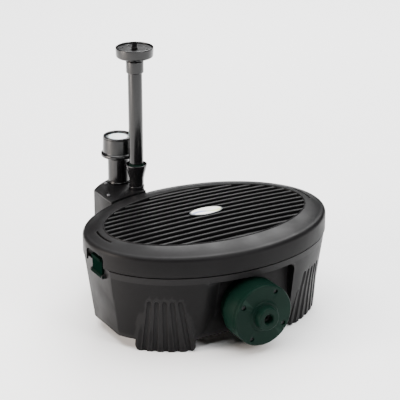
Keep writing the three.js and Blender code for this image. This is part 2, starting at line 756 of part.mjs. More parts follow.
const lampColumn = [
  [LAMP.column - WALL, OUTLET.top + GAP],
  [LAMP.column, OUTLET.top + GAP],
  [LAMP.column, LAMP.neck],
  [LAMP.column - WALL, LAMP.neck],
];
const headFloor = LAMP.neck + GAP;
const bezelBottom = LAMP.top - WALL;
const lampHead = [
  [10, headFloor],
  [LAMP.flange - 1.5, headFloor],
  [LAMP.flange, headFloor + 1.5],
  [LAMP.flange, headFloor + 4],
  [LAMP.flange - 1.5, headFloor + 5.5],
  [LAMP.head + 0.8, headFloor + 6.5],
  [LAMP.head, bezelBottom - GAP],
  [LAMP.head - WALL, bezelBottom - GAP],
  [LAMP.head - WALL, headFloor + 5],
  [10, headFloor + 5],
];
const lampBezel = [
  [19.2, bezelBottom],
  [LAMP.head - 0.3, bezelBottom],
  [LAMP.head - 0.3, LAMP.top - 1],
  [LAMP.head - 1.3, LAMP.top],
  [21, LAMP.top],
  [19.2, LAMP.top - 2],
];
const lampLens = [
  [0, bezelBottom - 5],
  [20.6, bezelBottom - 5],
  [20.6, bezelBottom - GAP],
  [12, bezelBottom + 0.8],
  [0, bezelBottom + 1.2],
];

function ledBoard() {
  const plate = disc(17, headFloor + 6, headFloor + 8);
  const chips = onCircle(disc(3, headFloor + 7, headFloor + 10, 12), 9, evenly(3, 30));
  return union([plate, ...chips]);
}

place('lamp_column', 'gloss', atLamp(turned(lampColumn, 28)));
place('lamp_head', 'gloss', atLamp(turned(lampHead, 28)));
place('lamp_bezel', 'gloss', atLamp(turned(lampBezel, 28)));
place('lamp_lens', 'lens', atLamp(turned(lampLens, 24)));
place('led_board', 'board', atLamp(ledBoard()));

// ---------------------------------------------------------------- fountain riser

const atRiser = (manifold) => moved(manifold, RISER.x, RISER.y, 0);
const riserBore = 6.5;
const tubeWall = 1.5;
const innerTube = RISER.tube - tubeWall - GAP - 0.1;
const seatTop = RISER.ballZ - 9.5;

const riserSocket = [
  [riserBore + 2, RISER.socketBottom],
  [RISER.socket, RISER.socketBottom],
  [RISER.socket, RISER.socketTop],
  [riserBore + 2, RISER.socketTop],
];

const riserCup = [
  [riserBore, RISER.socketTop + GAP],
  [11.6, RISER.socketTop + GAP],
  [11.6, 178],
  [RISER.rim - 0.4, 199],
  [RISER.rim, 200],
  [RISER.rim, RISER.rimTop],
  [RISER.rim - 1.8, RISER.rimTop],
  [14.4, 199],
  [RISER.ball + 0.4, RISER.ballZ],
  [12.7, 188.5],
  [10.1, seatTop],
  [10.1, seatTop - 5.6],
  [riserBore, seatTop - 5.6],
];

// The soft seat under the ball is hollowed to the ball's own curve.
function ballSeat() {
  const curve = RISER.ball + GAP;
  const hollow = [9.8, 8.8, 7.6, riserBore].map((r) => [r, RISER.ballZ - Math.sqrt(curve ** 2 - r ** 2)]);
  return turned([[riserBore, seatTop - 5], [9.8, seatTop - 5], ...hollow], 20);
}

function riserBall() {
  const top = RISER.ballZ + 9.6;
  const sphere = solid(new THREE.SphereGeometry(RISER.ball, 20, 10).rotateX(Math.PI / 2));
  const trimmed = moved(sphere, 0, 0, RISER.ballZ).intersect(disc(20, RISER.ballZ - 11, top));
  const spigot = disc(RISER.tube - tubeWall - GAP, RISER.ballZ, top + 20);
  return trimmed.add(spigot).subtract(disc(riserBore, RISER.ballZ - 20, RISER.ballZ + 40));
}

const tubeBottom = RISER.ballZ + 9.6 + GAP;
const collarStep = RISER.tubeTop + GAP;
const outerTube = ring(RISER.tube - tubeWall, RISER.tube, tubeBottom, RISER.tubeTop, 24);
const slidingTube = ring(innerTube - 1.5, innerTube, 234, 385, 24);

const riserCollar = [
  [RISER.tube + GAP, RISER.collarBottom],
  [RISER.collar - 1, RISER.collarBottom],
  [RISER.collar, RISER.collarBottom + 1],
  [RISER.collar, RISER.collarTop - 1],
  [RISER.collar - 1, RISER.collarTop],
  [innerTube + GAP, RISER.collarTop],
  [innerTube + GAP, collarStep],
  [RISER.tube + GAP, collarStep],
];

// The head is a shallow cup on a socket; the jet plate closes it and a tab stands in the middle.
const fountainHead = [
  [innerTube + GAP, HEAD.bottom],
  [12.5, HEAD.bottom],
  [13, HEAD.bottom + 2.5],
  [17, HEAD.bottom + 4.2],
  [HEAD.radius - 3, HEAD.bottom + 5],
  [HEAD.radius - 0.6, HEAD.bottom + 7],
  [HEAD.radius, HEAD.top - 1],
  [HEAD.radius - 1, HEAD.top],
  [HEAD.radius - 2.5, HEAD.top - 1],
  [HEAD.radius - 2.5, HEAD.bottom + 8],
  [innerTube + GAP, HEAD.bottom + 8],
];

function jetPlate() {
  const edge = HEAD.radius - 2.5 - GAP;
  const bottom = HEAD.top - 6;
  const outline = [[0, bottom], [edge, bottom + 1], [edge, bottom + 3.4], [8, bottom + 2], [0, bottom + 2]];
  const plate = turned(outline, 28);
  const jets = onCircle(disc(1.4, bottom - 2, bottom + 6, 6), 20, evenly(HEAD.jets));
  return plate.subtract(union(jets));
}

function headTab() {
  const base = HEAD.top - 4 + GAP;
  const boss = disc(5, base, base + 3, 20);
  const fin = roundedTop(-4, 4, base + 2, HEAD.top + 8, 2.5);
  const upright = new THREE.ExtrudeGeometry(fin, { depth: 2.4, curveSegments: 4, bevelEnabled: false });
  return boss.add(moved(solid(upright).rotate([90, 0, 0]), 0, 1.2, 0));
}

place('riser_socket', 'gloss', atRiser(turned(riserSocket, 24)));
place('riser_cup', 'gloss', atRiser(turned(riserCup, 24)));
place('ball_seat', 'rubber', atRiser(ballSeat()));
place('riser_ball', 'green', atRiser(riserBall()));
place('riser_tube_outer', 'gloss', atRiser(outerTube));
place('riser_tube_inner', 'gloss', atRiser(slidingTube));
place('riser_collar', 'gloss', atRiser(turned(riserCollar, 24)));
place('fountain_head', 'gloss', atRiser(turned(fountainHead, 32)));
place('jet_plate', 'gloss', atRiser(jetPlate()));
place('head_tab', 'gloss', atRiser(headTab()));

export default group;
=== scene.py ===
"""Fountain submersible pump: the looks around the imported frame. Lengths are in millimetres unless said."""
import json
import math

import bmesh
import bpy
from mathutils import Matrix, Vector, noise


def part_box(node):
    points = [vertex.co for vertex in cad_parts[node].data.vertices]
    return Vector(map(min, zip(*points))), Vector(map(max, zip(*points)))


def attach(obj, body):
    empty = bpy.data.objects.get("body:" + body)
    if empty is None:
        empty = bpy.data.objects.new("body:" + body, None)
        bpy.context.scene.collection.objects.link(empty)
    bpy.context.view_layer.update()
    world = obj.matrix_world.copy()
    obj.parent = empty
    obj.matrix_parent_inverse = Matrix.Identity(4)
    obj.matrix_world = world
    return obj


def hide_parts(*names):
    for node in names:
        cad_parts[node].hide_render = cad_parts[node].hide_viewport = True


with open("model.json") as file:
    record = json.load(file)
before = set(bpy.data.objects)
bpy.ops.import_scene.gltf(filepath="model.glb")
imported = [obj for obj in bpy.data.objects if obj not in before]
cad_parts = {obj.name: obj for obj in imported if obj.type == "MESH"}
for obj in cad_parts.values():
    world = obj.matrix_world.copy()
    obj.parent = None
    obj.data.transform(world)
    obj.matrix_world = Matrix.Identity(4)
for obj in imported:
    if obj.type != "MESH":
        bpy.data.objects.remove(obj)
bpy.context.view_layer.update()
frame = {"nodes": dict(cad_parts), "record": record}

MM = 0.001
ROUND = 96  # segments around a visible turned piece

# The lid: an oval rim around a field of slats.
LID_A, LID_B = 200.0, 145.0  # half length and half width
RIM_FILLET = 6.5
RIM_TOP_Z = 160.0  # where the rim's fillet ends and its slope up to the slats begins
RIM_RISE = 6.2
FIELD_A, FIELD_B = 167.0, 104.5  # the slotted oval's half length and half width
FIELD_RIM_Z, FIELD_CROWN = 166.2, 3.4  # height at its border, and the rise to its middle
SLAT_PITCH, SLAT_WIDTH, SLAT_DEPTH = 14.37, 5.2, 6.0
SLAT_SIDE = 7  # slats on each side of the middle one
SLAT_STEPS = 28
RIB_PLACES, RIB_THICKNESS = (-84, 0, 84), 3.0
SLIT_OUTER, SLIT_INNER = 181, 178  # the end slit's edges, as half lengths of the ovals they follow

# The casing: an oval wall that widens upwards, with flat end panels and a narrower neck under the lid.
TUB_BOTTOM_Z, TUB_TOP_Z = 18.0, 127.0
TUB_A, TUB_B = 184.5, 127.5  # half length and half width at the bottom
TUB_GROW_A, TUB_GROW_B = 14.3, 16.3  # how much they grow up to the top
NECK_A, NECK_B, NECK_END, NECK_TOP_Z = 193.2, 138.2, 184.5, 153
PANEL_BOTTOM, PANEL_SLOPE = 175.5, 0.13303  # half length between the end panels, and its growth with height
WALL = 3.0

# The bay for the motor, with a soft scoop at its left.
BAY_LEFT, BAY_RIGHT, BAY_BACK, BAY_TOP, BAY_CORNER = -48.0, 80.0, -110.0, 116.0, 12.0
SCOOP_LEFT, SCOOP_RIGHT, SCOOP_BLEND = -112, -20, 9.0
SCOOP_Y, SCOOP_PER_X, SCOOP_PER_Z = -73.6, 0.4283, -0.2781  # the scoop's plane
MOTOR_Z = 62.4

# The feet, in degrees around the oval, each with a fan of flutes.
FOOT_ANGLE, FOOT_SPREAD = 46.5, 16.5
FOOT_PROUD, FOOT_FADE, FOOT_DEPTH = 3.0, 60.0, 20.0
FLUTES, FLUTE_RADIUS, FLUTE_TOP, FLUTE_ANGLE = 5, 4.3, 84.0, 47.7

# The clips and the notches that the lid's skirt has around them.
CLIP_OFFSET = 9.0
CLIP_PIN_X, CLIP_PIN_Z, CLIP_PIN_HOLE, CLIP_PIN_REACH = 193, 113, 1.8, 22
NOTCH_HALF, NOTCH_BOTTOM, NOTCH_TOP = 23.0, 110, 150

FOAM_VOXEL = 0.005  # metres
FLOOR_REACH = 12.0  # metres


def centre_of(node):
    low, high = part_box(node)
    return (low + high) / 2


def span(node, axis):
    low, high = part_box(node)
    return low[axis] / MM, high[axis] / MM


CENTRE_Y = centre_of("lid_cover").y / MM  # the oval's middle, in millimetres

# ------------------------------------------------------------------ mesh tools


def new_object(name, verts, faces):
    mesh = bpy.data.meshes.new(name)
    mesh.from_pydata([tuple(v) for v in verts], [], faces)
    obj = bpy.data.objects.new(name, mesh)
    bpy.context.scene.collection.objects.link(obj)
    return outward(obj)


def outward(obj):
    bm = bmesh.new()
    bm.from_mesh(obj.data)
    bmesh.ops.recalc_face_normals(bm, faces=bm.faces)
    bm.to_mesh(obj.data)
    bm.free()
    return obj


def bake(obj):
    """Turns the object's modifiers into its mesh."""
    graph = bpy.context.evaluated_depsgraph_get()
    mesh = bpy.data.meshes.new_from_object(obj.evaluated_get(graph))
    obj.modifiers.clear()
    obj.data = mesh
    return obj


def cut(obj, *cutters, operation="DIFFERENCE"):
    for cutter in cutters:
        modifier = obj.modifiers.new("cut", "BOOLEAN")
        modifier.object = cutter
        modifier.operation = operation
        modifier.solver = "EXACT"
    bpy.context.view_layer.update()
    bake(obj)
    for cutter in cutters:
        bpy.data.objects.remove(cutter)
    return obj


def soft_edges(obj, width, angle=35):
    modifier = obj.modifiers.new("bevel", "BEVEL")
    modifier.width = width * MM
    modifier.segments = 2
    modifier.limit_method = "ANGLE"
    modifier.angle_limit = math.radians(angle)
    modifier.miter_outer = "MITER_ARC"
    return bake(obj)


def shade(obj, angle=40):
    obj.data.shade_smooth()
    obj.data.set_sharp_from_angle(angle=math.radians(angle))
    return obj


def join(name, objects):
    """One object of several meshes, each kept as its own shell."""
    bm = bmesh.new()
    for obj in objects:
        bm.from_mesh(obj.data)
        bpy.data.objects.remove(obj)
    mesh = bpy.data.meshes.new(name)
    bm.to_mesh(mesh)
    bm.free()
    whole = bpy.data.objects.new(name, mesh)
    bpy.context.scene.collection.objects.link(whole)
    return whole


def softened(outline, closed):
    """Points of a profile whose corners, given as (r, z, round), are rounded."""
    points = [(p[0], p[1], p[2] if len(p) > 2 else 0) for p in outline]
    result = []
    for i, (r, z, radius) in enumerate(points):
        inside = closed or 0 < i < len(points) - 1
        if not radius or not inside:
            result.append((r, z))
            continue
        corner = Vector((r, z))
        before = Vector(points[i - 1][:2]) - corner
        after = Vector(points[(i + 1) % len(points)][:2]) - corner
        reach = min(radius, before.length * 0.49, after.length * 0.49)
        start, end = corner + before.normalized() * reach, corner + after.normalized() * reach
        for step in range(5):
            t = step / 4
            result.append(tuple((1 - t) ** 2 * start + 2 * t * (1 - t) * corner + t * t * end))
    return result


def turned(name, outline, centre=(0, 0), segments=ROUND, closed=True, ratio=1.0):
    """A solid of revolution about Z. An outline that starts and ends at r = 0 is not closed on itself."""
    profile = softened(outline, closed)
    verts, faces, rings = [], [], []
    for r, z in profile:
        if r < 1e-6:
            rings.append([len(verts)])
            verts.append((centre[0] * MM, centre[1] * MM, z * MM))
            continue
        start = len(verts)
        for k in range(segments):
            angle = 2 * math.pi * k / segments
            x, y = centre[0] + r * math.cos(angle), centre[1] + r * ratio * math.sin(angle)
            verts.append((x * MM, y * MM, z * MM))
        rings.append(list(range(start, start + segments)))
    pairs = list(zip(rings, rings[1:])) + ([(rings[-1], rings[0])] if closed else [])
    for low, high in pairs:
        for k in range(segments):
            n = (k + 1) % segments
            if len(low) == 1 and len(high) == 1:
                break
            if len(low) == 1:
                faces.append((low[0], high[k], high[n]))
            elif len(high) == 1:
                faces.append((low[k], high[0], low[n]))
            else:
                faces.append((low[k], low[n], high[n], high[k]))
    return new_object(name, verts, faces)


def oval_loop(name, rings, segments=192):
    """A closed band of ellipses, each ring (a, b, z); the last ring joins the first."""
    verts, faces = [], []
    for a, b, z in rings:
        for k in range(segments):
            angle = 2 * math.pi * k / segments
            verts.append((a * MM * math.cos(angle), (CENTRE_Y + b * math.sin(angle)) * MM, z * MM))
    count = len(rings)
    for i in range(count):
        for k in range(segments):
            n, j = (k + 1) % segments, (i + 1) % count
            faces.append((i * segments + k, i * segments + n, j * segments + n, j * segments + k))
    return new_object(name, verts, faces)


def prism(name, outline, low, high, place):
    """An outline of (u, v) points raised from low to high; place turns (u, v, w) into (x, y, z)."""
    count = len(outline)
    verts = [place(u, v, w) for w in (low, high) for u, v in outline]
    faces = [tuple(range(count)), tuple(range(count, 2 * count))]
    for k in range(count):
        n = (k + 1) % count
        faces.append((k, n, count + n, count + k))
    return new_object(name, [tuple(c * MM for c in v) for v in verts], faces)


def round_rectangle(left, right, bottom, top, radius, steps=5):
    corners = [
        (right - radius, top - radius, 0),
        (left + radius, top - radius, 90),
        (left + radius, bottom + radius, 180),
        (right - radius, bottom + radius, 270),
    ]
    points = []
    for x, y, start in corners:
        for k in range(steps + 1):
            angle = math.radians(start + 90 * k / steps)
            points.append((x + radius * math.cos(angle), y + radius * math.sin(angle)))
    return points


def along(obj, start, end):
    """Stands a piece that was made along Z from the origin on the line from start to end."""
    direction = Vector(end) - Vector(start)
    turn = direction.to_track_quat("Z", "Y").to_matrix().to_4x4()
    obj.data.transform(Matrix.Translation(Vector(start) * MM) @ turn)
    return obj


def cleaned_copy(node):
    """A copy of a CAD node's mesh, welded and with its flat faces whole again."""
    mesh = frame["nodes"][node].data.copy()
    mesh.materials.clear()
    obj = bpy.data.objects.new(node + "_fine", mesh)
    bpy.context.scene.collection.objects.link(obj)
    bm = bmesh.new()
    bm.from_mesh(mesh)
    bmesh.ops.remove_doubles(bm, verts=bm.verts, dist=2e-6)
    bmesh.ops.dissolve_limit(bm, angle_limit=math.radians(0.6), verts=bm.verts, edges=bm.edges)
    for edge in bm.edges:
        edge.smooth = True
    bm.to_mesh(mesh)
    bm.free()
    return obj


# ------------------------------------------------------------------ materials


class Recipe:
    """A node material with a Principled surface, built up a layer at a time."""

    def __init__(self, name, colour, roughness, metallic=0.0, specular=0.5):
        self.material = bpy.data.materials.new(name)
        self.material.use_nodes = True
        self.tree = self.material.node_tree
        self.surface = self.tree.nodes["Principled BSDF"]
        self.surface.inputs["Roughness"].default_value = roughness
        self.surface.inputs["Metallic"].default_value = metallic
        self.surface.inputs["Base Color"].default_value = (*colour, 1)
        self.surface.inputs["Specular IOR Level"].default_value = specular
        self.place = self.tree.nodes.new("ShaderNodeTexCoord").outputs["Object"]
        self.height = None

    def node(self, kind, **values):
        made = self.tree.nodes.new(kind)
        for key, value in values.items():
            if key in made.inputs:
                made.inputs[key].default_value = value
            else:
                setattr(made, key, value)
        return made

    def link(self, source, target):
        self.tree.links.new(source, target)

    def noise(self, scale, detail=3, stretch=None):
        texture = self.node("ShaderNodeTexNoise", Scale=scale, Detail=detail)
        source = self.place
        if stretch:
            mapping = self.node("ShaderNodeMapping")
            mapping.inputs["Scale"].default_value = stretch
            self.link(source, mapping.inputs["Vector"])
            source = mapping.outputs["Vector"]
        self.link(source, texture.inputs["Vector"])
        return texture.outputs["Fac"]

    def ramp(self, source, low, high, start=0.35, end=0.65):
        mapped = self.node("ShaderNodeMapRange")
        for name, value in (("From Min", start), ("From Max", end), ("To Min", low), ("To Max", high)):
            mapped.inputs[name].default_value = value
        self.link(source, mapped.inputs["Value"])
        return mapped.outputs["Result"]

    def mix(self, factor, first, second):
        mixer = self.node("ShaderNodeMix", data_type="RGBA")
        self.link(factor, mixer.inputs["Factor"])
        for target, value in ((mixer.inputs[6], first), (mixer.inputs[7], second)):
            if isinstance(value, tuple):
                target.default_value = (*value, 1)
            else:
                self.link(value, target)
        return mixer.outputs[2]

    def colour(self, source):
        self.link(source, self.surface.inputs["Base Color"])

    def roughness(self, source):
        self.link(source, self.surface.inputs["Roughness"])

    def bump(self, source, strength, distance):
        layer = self.node("ShaderNodeBump", Strength=strength, Distance=distance * MM)
        self.link(source, layer.inputs["Height"])
        if self.height:
            self.link(self.height, layer.inputs["Normal"])
        self.height = layer.outputs["Normal"]
        self.link(self.height, self.surface.inputs["Normal"])


def moulded(name, colour, roughness, texture=0.35, specular=0.5, wear=1.35):
    """Moulded plastic: a fine spark-eroded grain, slow shade and gloss drift, and edges rubbed paler."""
    recipe = Recipe(name, colour, roughness, specular=specular)
    drift = recipe.ramp(recipe.noise(9, 2), 0.0, 1.0)
    dark = tuple(c * 0.86 for c in colour)
    pale = tuple(c * 1.16 for c in colour)
    base = recipe.mix(drift, dark, pale)
    pointed = recipe.node("ShaderNodeNewGeometry").outputs["Pointiness"]
    edge = recipe.ramp(pointed, 0.0, 1.0, 0.53, 0.62)
    recipe.colour(recipe.mix(edge, base, tuple(min(1, c * wear + 0.004) for c in colour)))
    recipe.roughness(recipe.ramp(recipe.noise(24, 4), roughness - 0.05, roughness + 0.06))
    recipe.bump(recipe.noise(1500, 2), texture, 0.05)
    recipe.bump(recipe.noise(60, 2), 0.12, 0.25)
    return recipe.material


def polished(name, colour, roughness):
    """Glossy plastic with faint moulding ripple and a few fine rub marks."""
    recipe = Recipe(name, colour, roughness, specular=0.35)
    drift = recipe.ramp(recipe.noise(14, 2), 0, 1)
    recipe.colour(recipe.mix(drift, tuple(c * 0.85 for c in colour), colour))
    rubs = recipe.noise(90, 5, stretch=(1, 1, 0.15))
    recipe.roughness(recipe.ramp(rubs, roughness, roughness + 0.12, 0.5, 0.8))
    recipe.bump(recipe.noise(45, 2), 0.06, 0.3)
    return recipe.material


def metal(name, colour, roughness, stretch=(1, 1, 0.05)):
    """Drawn metal with fine streaks."""
    recipe = Recipe(name, colour, roughness, metallic=1.0)
    streaks = recipe.noise(700, 3, stretch=stretch)
    recipe.colour(recipe.mix(streaks, tuple(c * 0.8 for c in colour), colour))
    recipe.roughness(recipe.ramp(streaks, roughness - 0.06, roughness + 0.1, 0.3, 0.7))
    recipe.bump(streaks, 0.2, 0.02)
    return recipe.material


def foam(name, colour):
    """Open-cell foam: a net of pale cell walls, with painted shade darkening the pores between them."""
    recipe = Recipe(name, colour, 0.95, specular=0.1)
    cells = recipe.node("ShaderNodeTexVoronoi", Scale=420)
    recipe.link(recipe.place, cells.inputs["Vector"])
    # painted shade: the colour is darkened in each cell's hollow, where shade would fall
    painted_pore_shade = recipe.ramp(cells.outputs["Distance"], 0, 1, 0.15, 0.6)
    recipe.colour(recipe.mix(painted_pore_shade, tuple(c * 0.15 for c in colour), colour))
    recipe.bump(cells.outputs["Distance"], 0.9, 1.2)
    return recipe.material


def clear(name, colour, roughness):
    """Clear quartz or glass, very slightly uneven."""
    recipe = Recipe(name, colour, roughness)
    recipe.surface.inputs["Transmission Weight"].default_value = 0.92
    recipe.roughness(recipe.ramp(recipe.noise(40, 3), roughness, roughness + 0.05))
    recipe.bump(recipe.noise(25, 2), 0.05, 0.2)
    return recipe.material


def lens_material():
    """A frosted lens with faint moulded rings, pale over the light and grey over its reflector."""
    recipe = Recipe("lens", (0.86, 0.87, 0.86), 0.35)
    middle = centre_of("lamp_lens")
    offset = recipe.node("ShaderNodeVectorMath", operation="SUBTRACT")
    recipe.link(recipe.place, offset.inputs[0])
    offset.inputs[1].default_value = middle
    rings = recipe.node("ShaderNodeTexWave", wave_type="RINGS", rings_direction="Z", Scale=160)
    recipe.link(offset.outputs["Vector"], rings.inputs["Vector"])
    recipe.bump(rings.outputs["Fac"], 0.35, 0.4)
    glow = recipe.mix(rings.outputs["Fac"], (0.8, 0.82, 0.82), (0.95, 0.96, 0.95))
    radius = recipe.node("ShaderNodeVectorMath", operation="LENGTH")
    recipe.link(offset.outputs["Vector"], radius.inputs[0])
    reflector = recipe.ramp(radius.outputs["Value"], 0, 1, 0.0145, 0.0165)
    recipe.colour(recipe.mix(reflector, glow, (0.09, 0.095, 0.095)))
    recipe.roughness(recipe.ramp(recipe.noise(80, 3), 0.25, 0.4))
    recipe.surface.inputs["Subsurface Weight"].default_value = 0.2
    return recipe.material


def badge_material():
    """A cream plate with a soft wave of colour across it and a dark line around its edge."""
    recipe = Recipe("badge_print", (0.8, 0.78, 0.66), 0.35)
    low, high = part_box("badge")
    parts = recipe.node("ShaderNodeSeparateXYZ")
    mapping = recipe.node("ShaderNodeMapping")
    half = (high - low) / 2
    middle = (high + low) / 2
    scale = Vector((1 / half.x, 1 / half.y, 0))
    mapping.inputs["Scale"].default_value = scale
    mapping.inputs["Location"].default_value = (-middle.x * scale.x, -middle.y * scale.y, 0)
    recipe.link(recipe.place, mapping.inputs["Vector"])
    recipe.link(mapping.outputs["Vector"], parts.inputs["Vector"])
    wave = recipe.node("ShaderNodeMath", operation="SINE")
    stretch = recipe.node("ShaderNodeMath", operation="MULTIPLY")
    stretch.inputs[1].default_value = 3.4
    recipe.link(parts.outputs["X"], stretch.inputs[0])
    recipe.link(stretch.outputs["Value"], wave.inputs[0])
    bend = recipe.node("ShaderNodeMath", operation="MULTIPLY_ADD")
    bend.inputs[1].default_value = 0.22
    recipe.link(wave.outputs["Value"], bend.inputs[0])
    recipe.link(parts.outputs["Y"], bend.inputs[2])
    upper = recipe.ramp(bend.outputs["Value"], 0, 1, -0.12, 0.02)
    lower = recipe.ramp(bend.outputs["Value"], 0, 1, -0.5, -0.4)
    cream, dark = (0.8, 0.8, 0.72), (0.02, 0.025, 0.03)
    side = recipe.ramp(parts.outputs["X"], 0, 1, -0.3, 0.35)
    tint = recipe.mix(side, (0.16, 0.2, 0.42), (0.55, 0.62, 0.22))
    banded = recipe.mix(upper, recipe.mix(lower, cream, tint), cream)
    radius = recipe.node("ShaderNodeVectorMath", operation="LENGTH")
    recipe.link(mapping.outputs["Vector"], radius.inputs[0])
    edge = recipe.ramp(radius.outputs["Value"], 0, 1, 0.86, 0.9)
    recipe.colour(recipe.mix(edge, banded, dark))
    recipe.roughness(recipe.ramp(recipe.noise(60, 3), 0.28, 0.42))
    recipe.bump(recipe.noise(300, 2), 0.1, 0.05)
    return recipe.material


MATERIALS = {
    "casing": moulded("casing", (0.0055, 0.0053, 0.0056), 0.42, texture=0.35, specular=0.07),
    "green": moulded("green", (0.0022, 0.0105, 0.007), 0.42, texture=0.25, specular=0.05),
    "gloss": polished("gloss", (0.005, 0.005, 0.0055), 0.18),
    "clip": moulded("clip", (0.0008, 0.0045, 0.003), 0.6, texture=0.25, specular=0.0),
    "foam": foam("foam", (0.004, 0.0045, 0.005)),
    "badge": badge_material(),
    "steel": metal("steel", (0.55, 0.56, 0.57), 0.3),
    "rubber": moulded("rubber", (0.006, 0.006, 0.006), 0.7, texture=0.5, specular=0.2),
    "copper": metal("copper", (0.6, 0.26, 0.12), 0.35, stretch=(0.05, 1, 1)),
    "magnet": moulded("magnet", (0.05, 0.05, 0.055), 0.5, texture=0.6),
    "ceramic": moulded("ceramic", (0.8, 0.78, 0.74), 0.25, texture=0.1, wear=1.02),
    "glass": clear("glass", (0.86, 0.92, 0.95), 0.03),
    "lens": lens_material(),
    "board": moulded("board", (0.02, 0.13, 0.045), 0.4, texture=0.2),
}
SLOT_OF = {s["node"]: s["material_slot"] for s in frame["record"]["subparts"]}
BODY_OF = {n: b for b, members in frame["record"]["behaviour"]["bodies"].items() for n in members}

for node, obj in frame["nodes"].items():
    obj.data.materials.clear()
    obj.data.materials.append(MATERIALS[SLOT_OF[node]])


def stands_for(obj, node, angle=40, material=None):
    """Hands a finished piece over in place of one CAD node, in that node's body and material."""
    obj.data.materials.clear()
    obj.data.materials.append(MATERIALS[material or SLOT_OF[node]])
    shade(obj, angle)
    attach(obj, BODY_OF[node])
    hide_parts(node)
    return obj


# ------------------------------------------------------------------ camera, light and floor


def make_camera():
    """The view from the front left, a little above; 144 mm lens, no shift."""
    location = Vector((-1155.3, -1970.7 + CENTRE_Y, 1101.1)) * MM
    forward, up = Vector((0.46635, 0.80304, -0.37102)), Vector((0.18632, 0.32085, 0.92865))
    right = forward.cross(up)
    data = bpy.data.cameras.new("camera")
    data.lens, data.sensor_width, data.sensor_height = 144, 36, 36
    camera = bpy.data.objects.new("camera", data)
    rotation = Matrix((right, up, -forward)).transposed().to_4x4()
    camera.matrix_world = Matrix.Translation(location) @ rotation
    bpy.context.scene.collection.objects.link(camera)
    bpy.context.scene.camera = camera


def area_light(name, place, target, size, power, colour=(1, 1, 1)):
    data = bpy.data.lights.new(name, "AREA")
    data.shape, data.size, data.size_y = "RECTANGLE", size[0], size[1]
    data.energy, data.color = power, colour
    lamp = bpy.data.objects.new(name, data)
    lamp.location = place
    lamp.rotation_euler = (Vector(target) - Vector(place)).to_track_quat("-Z", "Y").to_euler()
    bpy.context.scene.collection.objects.link(lamp)


def make_studio():
    """A pale floor, a broad overhead light, a rear card for the rim's sheen and a warm card at the left.

    The world lights the object from above only. Seen straight, it is pale, so a low view has no dark sky.
    """
    world = bpy.data.worlds.new("studio")
    world.use_nodes = True
    tree = world.node_tree
    way = tree.nodes.new("ShaderNodeSeparateXYZ")
    rise = tree.nodes.new("ShaderNodeMapRange")
    tree.links.new(tree.nodes.new("ShaderNodeTexCoord").outputs["Generated"], way.inputs["Vector"])
    tree.links.new(way.outputs["Z"], rise.inputs["Value"])
    for name, value in (("From Min", 0.35), ("From Max", 0.75), ("To Min", 0.06), ("To Max", 0.75)):
        rise.inputs[name].default_value = value
    tree.links.new(rise.outputs["Result"], tree.nodes["Background"].inputs["Strength"])
    pale = tree.nodes.new("ShaderNodeBackground")
    pale.inputs["Color"].default_value = (0.8, 0.8, 0.8, 1)
    seen = tree.nodes.new("ShaderNodeMixShader")
    tree.links.new(tree.nodes.new("ShaderNodeLightPath").outputs["Is Camera Ray"], seen.inputs["Fac"])
    tree.links.new(tree.nodes["Background"].outputs["Background"], seen.inputs[1])
    tree.links.new(pale.outputs["Background"], seen.inputs[2])
    tree.links.new(seen.outputs["Shader"], tree.nodes["World Output"].inputs["Surface"])
    bpy.context.scene.world = world
    middle = (0, 0, 0.12)
    data = bpy.data.lights.new("overhead", "SUN")
    data.energy, data.angle = 8.5, math.radians(80)
    sun = bpy.data.objects.new("overhead", data)
    sun.rotation_euler = Vector((-0.1, -0.12, -1)).to_track_quat("-Z", "Y").to_euler()
    bpy.context.scene.collection.objects.link(sun)
    area_light("rear_card", (1.25, 1.6, 1.75), middle, (1.3, 0.8), 55)
    area_light("left_card", (-1.7, 0.35, 0.5), middle, (0.8, 0.9), 60, (1, 0.9, 0.82))
    area_light("front_card", (0.5, -1.9, 1.3), middle, (0.6, 0.6), 25)
    verts = [(x * FLOOR_REACH, y * FLOOR_REACH, 0) for x, y in ((-1, -1), (1, -1), (1, 1), (-1, 1))]
    floor = new_object("floor", verts, [(0, 1, 2, 3)])
    recipe = Recipe("paper", (0.95, 0.95, 0.95), 0.8, specular=0.2)
    recipe.colour(recipe.mix(recipe.noise(5, 2), (0.94, 0.94, 0.94), (0.96, 0.96, 0.96)))
    floor.data.materials.append(recipe.material)


# ------------------------------------------------------------------ lid


def dome(x, y):
    """The slats' top height above the floor, at a place measured from the oval's middle."""
    rho = (x / FIELD_A) ** 2 + (y / FIELD_B) ** 2
    return FIELD_RIM_Z + FIELD_CROWN * (1 - min(rho, 1))


def slat(index):
    """One slat, swept along the dome; the outermost two are shorter, wider and a little lower."""
    y = index * SLAT_PITCH
    outer = abs(index) == SLAT_SIDE
    half = FIELD_A * math.sqrt(1 - min(abs(y) / FIELD_B, 0.965) ** 2) + (0 if outer else 2.5)
    width = SLAT_WIDTH + (0.8 if outer else 0)
    section = round_rectangle(-width / 2, width / 2, -SLAT_DEPTH, 0, 0.9, 3)
    count = len(section)
    verts, faces = [], []
    for i in range(SLAT_STEPS + 1):
        x = half * (2 * i / SLAT_STEPS - 1)
        top = dome(x, y) - (0.6 if outer else 0)
        verts += [(x * MM, (CENTRE_Y + y + v) * MM, (top + w) * MM) for v, w in section]
    for i in range(SLAT_STEPS):
        for k in range(count):
            n = (k + 1) % count
            faces.append((i * count + k, i * count + n, (i + 1) * count + n, (i + 1) * count + k))
    faces += [tuple(range(count)), tuple(range(SLAT_STEPS * count, (SLAT_STEPS + 1) * count))]
    return new_object("slat", verts, faces)


